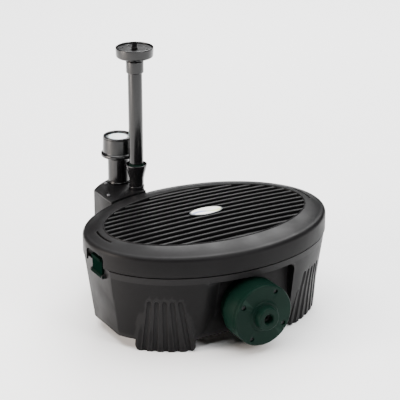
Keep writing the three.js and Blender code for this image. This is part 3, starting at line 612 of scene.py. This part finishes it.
def lid_rim():
    """The lid's skirt, its rounded edge, the slope up to the slats and the small lip around them."""
    low, _ = span("lid_cover", 2)
    rings = [(LID_A - 0.5, LID_B - 0.5, low), (LID_A, LID_B, low + 0.5)]
    fillet_z = RIM_TOP_Z - RIM_FILLET
    for turn in range(0, 91, 15):
        inset = RIM_FILLET * (1 - math.cos(math.radians(turn)))
        rings.append((LID_A - inset, LID_B - inset, fillet_z + RIM_FILLET * math.sin(math.radians(turn))))
    slope_a, slope_b = LID_A - RIM_FILLET, LID_B - RIM_FILLET
    for share in (0.1, 0.35, 0.65, 0.92):
        rise = RIM_RISE * math.sin(share * math.pi / 2)
        rings.append((slope_a - 24.5 * share, slope_b - 32 * share, RIM_TOP_Z + rise))
    rings += [(169.4, 106.9, 166.3), (169.0, 106.5, 167.1), (168.3, 105.8, 167.4), (167.6, 105.1, 167.1)]
    rings += [(167.2, 104.7, 166.4), (167.0, 104.5, 165.5), (167.0, 104.5, 161.2)]
    rings += [(190, 135, 156.8), (196.6, 141.6, 152), (197, 142, low + 1), (197.4, 142.4, low)]
    return oval_loop("lid_rim", rings)


def skirt_notch(side):
    middle = side * CLIP_OFFSET
    outline = round_rectangle(middle - NOTCH_HALF, middle + NOTCH_HALF, NOTCH_BOTTOM, NOTCH_TOP, 9, 6)
    return prism("notch", outline, 150, 230, lambda u, v, w: (side * w, CENTRE_Y + u, v))


def end_slit(side):
    """A slit that follows the lid's end, in plan a band of the oval."""
    outline = []
    for radius, sign in ((SLIT_OUTER, 1), (SLIT_INNER, -1)):
        for k in range(9):
            y = sign * (-24 + 6 * k)
            x = radius * math.sqrt(1 - (y / (LID_B * radius / LID_A)) ** 2)
            outline.append((side * x, CENTRE_Y + y))
    return prism("slit", outline, 140, 180, lambda u, v, w: (u, v, w))


def make_lid():
    rim = lid_rim()
    cut(rim, skirt_notch(1), skirt_notch(-1), end_slit(1), end_slit(-1))
    soft_edges(rim, 0.5, 50)
    slats = [slat(k) for k in range(-SLAT_SIDE, SLAT_SIDE + 1)]
    ribs = []
    outline = round_rectangle(-106, 106, 156.5, 162.5, 1)
    for x in RIB_PLACES:
        low, high = x - RIB_THICKNESS / 2, x + RIB_THICKNESS / 2
        ribs.append(prism("rib", outline, low, high, lambda u, v, w: (w, CENTRE_Y + u, v)))
    stands_for(join("lid_fine", [rim, *slats, *ribs]), "lid_cover")
    low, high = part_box("badge")
    top = dome(0, 0) + 0.3
    a, b = (high.x - low.x) / 2 / MM, (high.y - low.y) / 2 / MM
    outline = [(0, top), (a - 1, top, 0), (a, top + 0.7, 0.5), (a - 1.2, top + 1.3, 0.8), (0, top + 1.9)]
    plate = turned("badge_fine", outline, (0, CENTRE_Y), closed=False, ratio=b / a)
    stands_for(plate, "badge")


# ------------------------------------------------------------------ tub, clips and outlet box


def tub_ring(z, proud):
    """The casing oval's half length and half width at a height, a little proud of its wall."""
    share = (z - TUB_BOTTOM_Z) / (TUB_TOP_Z - TUB_BOTTOM_Z)
    return TUB_A + share * TUB_GROW_A + proud, TUB_B + share * TUB_GROW_B + proud


def smooth_max(first, second, blend):
    """The larger of two values, with a soft change from one to the other."""
    overlap = max(blend - abs(first - second), 0) / blend
    return max(first, second) + overlap * overlap * blend / 4


def wall_point(angle, z, inset=0.0):
    """The casing's outer wall, with the soft scoop at the motor's left; y is from the oval's middle."""
    a, b = tub_ring(z, -inset)
    x, y = a * math.cos(angle), b * math.sin(angle)
    if y < 0 and SCOOP_LEFT < x < SCOOP_RIGHT and z < BAY_TOP + 0.1 + inset:
        scoop = min(SCOOP_Y + SCOOP_PER_X * x + SCOOP_PER_Z * z, BAY_BACK) + inset
        y = smooth_max(y, scoop, SCOOP_BLEND)
    return x, y, z


def stack(name, rings):
    """A closed solid skinned over rings of points, each as long as the others."""
    count = len(rings[0])
    verts = [(x * MM, (CENTRE_Y + y) * MM, z * MM) for ring in rings for x, y, z in ring]
    faces = [tuple(range(count)), tuple(range((len(rings) - 1) * count, len(rings) * count))]
    for i in range(len(rings) - 1):
        for k in range(count):
            n = (k + 1) % count
            faces.append((i * count + k, i * count + n, (i + 1) * count + n, (i + 1) * count + k))
    return new_object(name, verts, faces)


def wall_solid(inset, low, high):
    """The casing's bulk, its wall moved in by the inset, before the end panels are cut."""
    angles = [2 * math.pi * k / 288 for k in range(288)]
    top = BAY_TOP + inset
    levels = [low, *[z for z in range(22, 116, 6) if low < z < top], top, top + 0.5, high]
    return stack("wall", [[wall_point(a, z, inset) for a in angles] for z in levels])


def end_wedge(inset, low, high):
    """All that lies between the two flat end panels, which lean outwards."""

    def reach(z):
        return PANEL_BOTTOM + PANEL_SLOPE * (z - TUB_BOTTOM_Z) - inset

    outline = [(-reach(low), low), (reach(low), low), (reach(high), high), (-reach(high), high)]
    return prism("wedge", outline, -200, 200, lambda u, v, w: (u, CENTRE_Y + w, v))


def bay(grow):
    left, right, top, corner = BAY_LEFT - grow, BAY_RIGHT + grow, BAY_TOP + grow, BAY_CORNER + grow
    outline = round_rectangle(left, right, -30, top, corner, 8)
    return prism("bay", outline, BAY_BACK + grow, -190, lambda u, v, w: (u, CENTRE_Y + w, v))


def foot(middle):
    """A foot that stands proud of the wall at the floor and fades into it; its width follows its height."""
    widths = ((0, 0.84), (1.2, 0.9), (3, 0.95), (8, 1), (18, 0.97), (32, 0.91), (46, 0.85), (FOOT_FADE, 0.8))
    rings = []
    for z, width in widths:
        proud = FOOT_PROUD * (1 - z / FOOT_FADE) + 0.02 - (0.8 if z == 0 else 0)
        spread = [FOOT_SPREAD * width * (k / 16 - 1) for k in range(33)]
        ring = []
        for reach, order in ((proud, spread), (-FOOT_DEPTH, reversed(spread))):
            a, b = tub_ring(z, reach)
            angles = [math.radians(middle + turn) for turn in order]
            ring += [(a * math.cos(t), b * math.sin(t), z) for t in angles]
        rings.append(ring)
    return stack("foot", rings)


def flute(middle, side):
    """The cutter for one round-ended groove; side runs from -1 to 1 across the foot."""

    def at(z, spread, proud):
        angle = math.radians(middle + side * spread)
        a, b = tub_ring(z, proud)
        return a * math.cos(angle), CENTRE_Y + b * math.sin(angle), z

    start = at(-8, FOOT_SPREAD * 0.76, 3.6)
    end = at(FLUTE_TOP, FOOT_SPREAD * 0.47, 1.6)
    length = math.dist(start, end)
    outline = [(0, 0), (FLUTE_RADIUS, 0), (FLUTE_RADIUS, length)]
    for turn in (20, 40, 60, 80):
        angle = math.radians(turn)
        outline.append((FLUTE_RADIUS * math.cos(angle), length + FLUTE_RADIUS * math.sin(angle)))
    outline.append((0, length + FLUTE_RADIUS))
    return along(turned("flute", outline, segments=24, closed=False), start, end)


def neck_band(inset, low, high):
    """The narrower oval under the lid, with its ends cut flat."""
    rings = []
    for z in (low, high):
        ring = []
        for k in range(192):
            angle = 2 * math.pi * k / 192
            x = (NECK_A - inset) * math.cos(angle)
            reach = NECK_END - inset
            ring.append((min(max(x, -reach), reach), (NECK_B - inset) * math.sin(angle), z))
        rings.append(ring)
    return stack("neck", rings)


def clip_lugs(side):
    """The two lugs that hold a clip's pin."""
    lugs = []
    for low in (16.1, -19.1):
        near, far = sorted((side * (CLIP_OFFSET + low), side * (CLIP_OFFSET + low + 3)))
        outline = [(183, 110), (194, 110), (195.6, 111.6), (195.6, 114.4), (194, 116), (183, 116)]
        lugs.append(prism("lug", outline, near, far, lambda u, v, w: (side * u, CENTRE_Y + w, v)))
    return lugs


def rod(radius, start, end):
    """A cylinder from one point to another, both measured from the oval's middle."""
    start, end = [(x, CENTRE_Y + y, z) for x, y, z in (start, end)]
    length = math.dist(start, end)
    outline = [(0, 0), (radius, 0), (radius, length), (0, length)]
    return along(turned("rod", outline, segments=48, closed=False), start, end)


def make_tub():
    """The casing and its feet in one: wall, neck, hollow, motor bay, lugs, holes and flutes."""
    feet = [180 + FOOT_ANGLE, 360 - FOOT_ANGLE, 180 - FOOT_ANGLE, FOOT_ANGLE]
    tub = cut(wall_solid(0, TUB_BOTTOM_Z, TUB_TOP_Z), end_wedge(0, 0, 140), operation="INTERSECT")
    cut(tub, *[foot(middle) for middle in feet], neck_band(0, TUB_TOP_Z - 5, NECK_TOP_Z), operation="UNION")
    inside = wall_solid(WALL, TUB_BOTTOM_Z + WALL, TUB_TOP_Z - 4)
    cut(inside, end_wedge(WALL, 0, 140), operation="INTERSECT")
    cut(inside, neck_band(WALL, TUB_TOP_Z - 6, 160), operation="UNION")
    cut(inside, bay(WALL))
    cut(tub, bay(0), inside)
    cut(tub, *[lug for side in (1, -1) for lug in clip_lugs(side)], operation="UNION")
    pipe = centre_of("delivery_pipe") / MM
    holes = [
        rod(31.5, (0, -125, MOTOR_Z), (0, -100, MOTOR_Z)),
        rod(11.3, (pipe.x, 90, pipe.z), (pipe.x, 150, pipe.z)),
    ]
    for side in (1, -1):
        x, y = side * CLIP_PIN_X, side * CLIP_OFFSET
        ends = [(x, y + reach, CLIP_PIN_Z) for reach in (-CLIP_PIN_REACH, CLIP_PIN_REACH)]
        holes.append(rod(CLIP_PIN_HOLE, *ends))
    for middle in (180 + FLUTE_ANGLE, 360 - FLUTE_ANGLE, 180 - FLUTE_ANGLE, FLUTE_ANGLE):
        holes += [flute(middle, 2 * k / (FLUTES - 1) - 1) for k in range(FLUTES)]
    cut(tub, *holes)
    soft_edges(tub, 0.7, 40)
    stands_for(tub, "base_tub", 38)
    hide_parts("foot_front_left", "foot_front_right", "foot_rear_left", "foot_rear_right")


def refine(node, width, angle=35, smooth=35, material=None):
    """Stands a copy of the CAD node, with its edges rounded, in for the node."""
    stands_for(soft_edges(cleaned_copy(node), width, angle), node, smooth, material)


# ------------------------------------------------------------------ foam


def make_foam(node):
    """Filter foam: the CAD layer remeshed and roughened, with softly rounded edges."""
    block = cleaned_copy(node)
    remesh = block.modifiers.new("remesh", "REMESH")
    remesh.mode = "VOXEL"
    remesh.voxel_size = FOAM_VOXEL
    bake(block)
    low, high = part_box(node)
    for vertex in block.data.vertices:
        push = noise.noise(vertex.co * 160) * 0.0006 - 0.0012
        vertex.co += vertex.normal * push
    for vertex in block.data.vertices:
        vertex.co.z = min(max(vertex.co.z, low.z), high.z)
    stands_for(block, node, 80)


# ------------------------------------------------------------------ motor


def to_motor(obj):
    """Turns a piece made about Z so that its +Z faces -Y, on the motor's axis."""
    middle = centre_of("motor_end_cap")
    turn = Matrix.Rotation(math.radians(90), 4, "X")
    obj.data.transform(Matrix.Translation((middle.x, 0, middle.z)) @ turn)
    return obj


def screw_places(radius=40, first=60):
    angles = [math.radians(first + 90 * k) for k in range(4)]
    return [(radius * math.cos(a), radius * math.sin(a)) for a in angles]


def make_motor():
    face = -span("motor_end_cap", 1)[0]
    seam = -span("motor_end_cap", 1)[1]
    front = face - 15
    cap = turned("cap", [
        (7.5, seam + 3), (45.2, seam + 3), (45.2, seam), (48.5, seam, 0.5), (48.5, front - 1.4, 0.7),
        (47.1, front, 0.7), (24, front, 0.6), (22.6, front + 2, 0.8), (18.3, front + 2.2, 0.8),
        (17.5, face - 1, 1.5), (16.4, face, 0.8), (9.2, face, 0.6), (7.5, face - 1.6, 0.6),
    ])
    hole = [
        (0, seam - 5), (2.1, seam - 5), (2.1, front - 5.5), (3.7, front - 5.5), (3.7, front + 5),
        (0, front + 5),
    ]
    cut(cap, *[turned("hole", hole, place, 32, closed=False) for place in screw_places()])
    soft_edges(cap, 0.3, 50)
    stands_for(to_motor(cap), "motor_end_cap")
    back = -span("motor_housing", 1)[1]
    outer = [
        (14.5, back), (31, back), (31, back + 5), (40, back + 5, 0.6), (41, back + 6, 0.6),
        (41, back + 22, 1), (47.5, back + 24, 0.6), (48.5, back + 25, 0.8), (48.5, seam - 0.3, 0.5),
        (45.5, seam - 0.3), (45.5, back + 27), (38, back + 27), (38, back + 8), (17, back + 8),
        (17, back + 50), (0, back + 50), (0, back + 48), (14.5, back + 48),
    ]
    stands_for(to_motor(turned("housing", outer)), "motor_housing")
    for k, place in enumerate(screw_places()):
        node = f"end_cap_screw_{k + 1}"
        tip, top = -span(node, 1)[1], -span(node, 1)[0]
        head = [
            (0, tip), (1.7, tip, 0.4), (1.7, top - 6.0, 0.2), (3.2, top - 5.9, 0.3), (3.2, top - 4.6, 0.6),
            (2.2, top - 4.2, 0.5), (1.3, top - 4.2, 0.1), (1.1, top - 5.4, 0.1), (0, top - 5.5),
        ]
        screw = turned(f"cap_screw_{k + 1}", head, place, 32, closed=False)
        stands_for(to_motor(screw), node, material="magnet")
    seal = [
        (4, seam + 7, 0.5), (7.3, seam + 7, 0.3), (7.3, seam + 13, 0.3), (5.2, seam + 13, 0.6),
        (4, seam + 11.5, 0.6),
    ]
    stands_for(to_motor(turned("gland_seal_fine", seal)), "gland_seal")


# ------------------------------------------------------------------ lamp and riser


def at(node):
    middle = centre_of(node)
    return middle.x / MM, middle.y / MM


def make_lamp():
    place = at("lamp_head")
    low, high = span("lamp_column", 2)
    column = [
        (14.5, low), (18.6, low, 0.4), (18.6, low + 2, 0.6), (17.5, low + 3, 0.8), (17.3, high, 0.2),
        (14.5, high),
    ]
    stands_for(turned("lamp_column_fine", column, place), "lamp_column")
    low, high = span("lamp_head", 2)
    head = [
        (10, low), (26.6, low, 0.8), (28.3, low + 1.6, 1.2), (28.3, low + 5.6, 1.4), (26.2, low + 7.4, 0.8),
        (25.2, low + 8.2, 0.8), (24.5, high, 0.3), (21.3, high), (21.3, low + 5), (10, low + 5),
    ]
    stands_for(turned("lamp_head_fine", head, place), "lamp_head")
    low, high = span("lamp_bezel", 2)
    bezel = [
        (19.2, low), (24.2, low, 0.2), (24.2, high - 0.8, 0.8), (23.1, high, 0.5), (21, high, 0.5),
        (19.2, high - 2, 0.4),
    ]
    stands_for(turned("lamp_bezel_fine", bezel, place), "lamp_bezel")
    low, high = span("lamp_lens", 2)
    lens = [
        (0, low), (20.6, low, 0.3), (20.6, high - 1.5, 0.2), (19, high - 1.4), (12, high - 0.5),
        (5, high - 0.1), (0, high),
    ]
    stands_for(turned("lamp_lens_fine", lens, place, closed=False), "lamp_lens", 60)


def make_riser():
    place = at("riser_socket")
    low, high = span("riser_socket", 2)
    pipe = [(8.5, low), (12.4, low, 0.3), (12.4, high, 0.7), (8.5, high)]
    stands_for(turned("riser_socket_fine", pipe, place), "riser_socket")
    low, high = span("riser_cup", 2)
    cup = [
        (6.5, low), (11.6, low, 0.5), (11.6, low + 12, 5), (16.8, low + 33, 1), (17.2, low + 34.2, 0.6),
        (17.2, high, 0.7), (15.6, high, 0.6), (14.4, high - 3, 1), (13.8, high - 8), (12.7, high - 13.5),
        (10.1, high - 17.5), (10.1, high - 23.1), (6.5, high - 23.1),
    ]
    stands_for(turned("riser_cup_fine", cup, place), "riser_cup")
    low, high = span("riser_ball", 2)
    middle, radius, bore = 194.0, 13.4, 6.5
    ball = [(bore, low), (math.sqrt(radius**2 - (low - middle) ** 2), low)]
    for k in range(13):
        z = low + (middle + 9.6 - low) * k / 12
        ball.append((math.sqrt(radius**2 - (z - middle) ** 2), z))
    ball += [(9.7, middle + 9.6), (9.7, high, 0.4), (bore, high)]
    stands_for(turned("riser_ball_fine", ball, place), "riser_ball", 50)
    low, high = span("riser_tube_outer", 2)
    tube = [(10, low), (11.5, low, 0.3), (11.5, high, 0.3), (10, high)]
    stands_for(turned("riser_tube_fine", tube, place), "riser_tube_outer")
    low, high = span("riser_tube_inner", 2)
    tube = [(8.1, low), (9.6, low, 0.3), (9.6, high, 0.3), (8.1, high)]
    stands_for(turned("inner_tube_fine", tube, place), "riser_tube_inner")
    low, high = span("riser_collar", 2)
    collar = [
        (11.8, low), (13, low, 0.4), (14, low + 1, 0.6), (14, high - 1, 0.6), (13, high, 0.6), (9.9, high),
        (9.9, low + 11), (11.8, low + 11),
    ]
    stands_for(turned("riser_collar_fine", collar, place), "riser_collar")
    low, high = span("fountain_head", 2)
    head = [
        (9.9, low), (12.5, low, 0.4), (13, low + 2.5, 2), (17, low + 4.2, 2), (27, low + 5, 2.2),
        (29.4, low + 7, 1.4), (30, high - 1, 0.8), (29, high, 0.6), (27.5, high - 1, 0.5),
        (27.5, low + 8), (9.9, low + 8),
    ]
    stands_for(turned("fountain_head_fine", head, place), "fountain_head")
    refine("jet_plate", 0.2, 45, material="casing")
    refine("head_tab", 0.5, 40, material="casing")


# ------------------------------------------------------------------ the whole pump


make_camera()
make_studio()
make_lid()
make_tub()
refine("clip_left", 0.6, material="clip")
refine("clip_right", 0.6, material="clip")
refine("outlet_housing", 1.4, 45)
refine("outlet_cover", 0.8, 45)
refine("hose_tail", 0.3, 30)
refine("flow_valve", 0.6, 40)
make_motor()
make_lamp()
make_riser()
for foam_node in ("foam_fine", "foam_coarse"):
    make_foam(foam_node)
for k in (1, 2, 3):  # the outlet box cover's screws are blackened
    frame["nodes"][f"cover_screw_{k}"].data.materials[0] = MATERIALS["magnet"]
